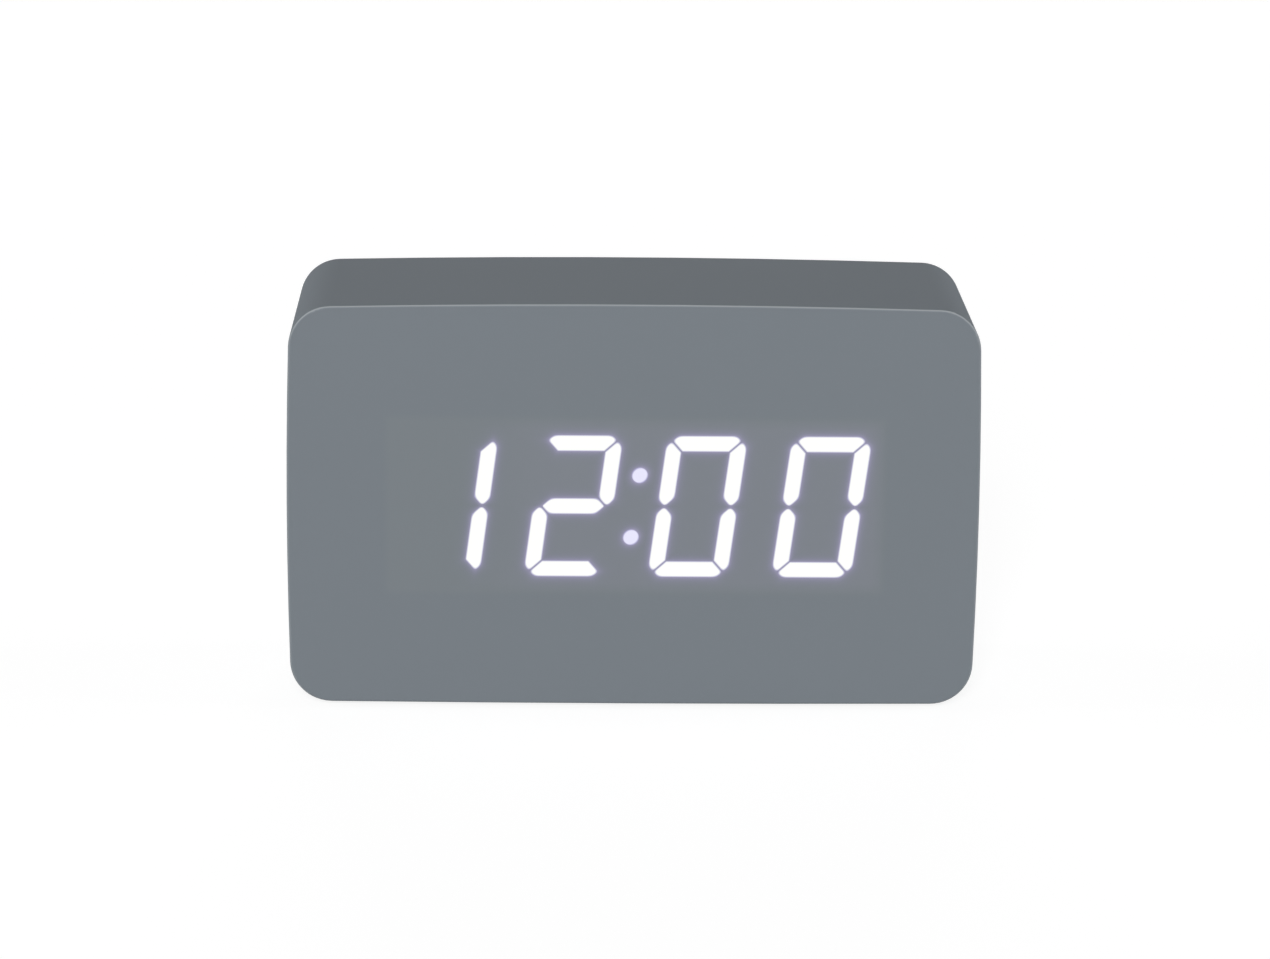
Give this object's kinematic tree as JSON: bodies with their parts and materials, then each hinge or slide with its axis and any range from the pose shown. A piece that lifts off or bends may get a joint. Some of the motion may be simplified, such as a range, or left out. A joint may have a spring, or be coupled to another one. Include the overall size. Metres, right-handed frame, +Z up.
{
  "type": "digital led desk clock",
  "caption": "Free-standing desk clock with a rounded grey case, lit digits behind a plain face, rear keys, slide switch, power inlet and a battery bay with a hinged door.",
  "frame": {"origin": "centre of the clock's footprint, on the surface that its feet stand on", "axes": "+X to the right as seen from the front, +Y from the face to the back, +Z up"},
  "size_m": [0.15, 0.055, 0.09],
  "materials": {
    "board_laminate": "green circuit board",
    "can_aluminium": "aluminium can",
    "can_steel": "nickel-plated steel",
    "cell_jacket": "cell in a plain printed jacket",
    "chip_black": "black moulded chip",
    "contact_nickel": "nickel-plated spring steel",
    "cover": "moulded grey plastic, matte",
    "dot_light": "lit dot",
    "foam_black": "black foam",
    "foot_rubber": "black rubber pad",
    "header_plastic": "off-white connector",
    "housing": "moulded grey plastic with a fine matte grain",
    "key_plastic": "dark grey key",
    "lead_black": "black lead",
    "lead_red": "red lead",
    "led_lens": "emitter with a yellow phosphor lens",
    "plunger_plastic": "black plunger",
    "reflector_white": "white reflector moulding",
    "ribbon_insulation": "grey ribbon cable",
    "screw_steel": "zinc-plated cross-head screw",
    "sounder_black": "black sounder case",
    "stroke_dark": "unlit stroke, the same grey as the face",
    "stroke_light": "lit white stroke",
    "switch_metal": "switch frame",
    "touch_copper": "copper touch plate"
  },
  "bodies": {
    "case": {"battery_bottom": "cell_jacket", "battery_contact_plates": "contact_nickel", "battery_contact_springs": "contact_nickel", "battery_lead_black": "lead_black", "battery_lead_header": "header_plastic", "battery_lead_red": "lead_red", "battery_middle": "cell_jacket", "battery_top": "cell_jacket", "board_resistors": "chip_black", "colon_dots": "dot_light", "controller_chip": "chip_black", "display_board": "board_laminate", "display_board_screws": "screw_steel", "display_driver_chip": "chip_black", "display_gasket": "foam_black", "display_header": "header_plastic", "front_housing": "housing", "hour_tens_dark_strokes": "stroke_dark", "hour_tens_lit_strokes": "stroke_light", "hour_units_dark_strokes": "stroke_dark", "hour_units_lit_strokes": "stroke_light", "key_switch_bases": "switch_metal", "led_chips": "led_lens", "main_board": "board_laminate", "main_board_header": "header_plastic", "main_board_screws": "screw_steel", "minute_tens_dark_strokes": "stroke_dark", "minute_tens_lit_strokes": "stroke_light", "minute_units_dark_strokes": "stroke_dark", "minute_units_lit_strokes": "stroke_light", "piezo_sounder": "sounder_black", "power_socket_shell": "can_steel", "power_socket_tongue": "chip_black", "quartz_crystal": "can_steel", "rear_cover": "cover", "rear_cover_screws": "screw_steel", "reflector_block": "reflector_white", "ribbon_cable": "ribbon_insulation", "rubber_feet": "foot_rubber", "slide_switch_base": "switch_metal", "smoothing_capacitor": "can_aluminium", "touch_lead": "lead_black", "touch_plate": "touch_copper"},
    "alarm_button": {"alarm_key": "key_plastic", "alarm_key_plunger": "plunger_plastic"},
    "time_button": {"time_key": "key_plastic", "time_key_plunger": "plunger_plastic"},
    "plus_button": {"plus_key": "key_plastic", "plus_key_plunger": "plunger_plastic"},
    "minus_button": {"minus_key": "key_plastic", "minus_key_plunger": "plunger_plastic"},
    "power_save_switch": {"slide_switch_grip": "key_plastic", "slide_switch_lever": "key_plastic"},
    "battery_door_body": {"battery_door": "cover"}
  },
  "joints": [
    {"name": "alarm_button_press", "type": "slide", "parent": "case", "child": "alarm_button", "axis": [0, -1, 0], "range_m": [0, 0.0005], "stiffness_N_per_m": 1500, "springref_m": -0.0005},
    {"name": "time_button_press", "type": "slide", "parent": "case", "child": "time_button", "axis": [0, -1, 0], "range_m": [0, 0.0005], "stiffness_N_per_m": 1500, "springref_m": -0.0005},
    {"name": "plus_button_press", "type": "slide", "parent": "case", "child": "plus_button", "axis": [0, -1, 0], "range_m": [0, 0.0005], "stiffness_N_per_m": 1500, "springref_m": -0.0005},
    {"name": "minus_button_press", "type": "slide", "parent": "case", "child": "minus_button", "axis": [0, -1, 0], "range_m": [0, 0.0005], "stiffness_N_per_m": 1500, "springref_m": -0.0005},
    {"name": "power_save_slide", "type": "slide", "parent": "case", "child": "power_save_switch", "axis": [1, 0, 0], "range_m": [0, 0.002]},
    {"name": "battery_door_hinge", "type": "hinge", "parent": "case", "child": "battery_door_body", "pos_m": [-0.031, 0.0265, 0.0207], "axis": [-1, 0, 0], "range_deg": [0, 70]}
  ]
}
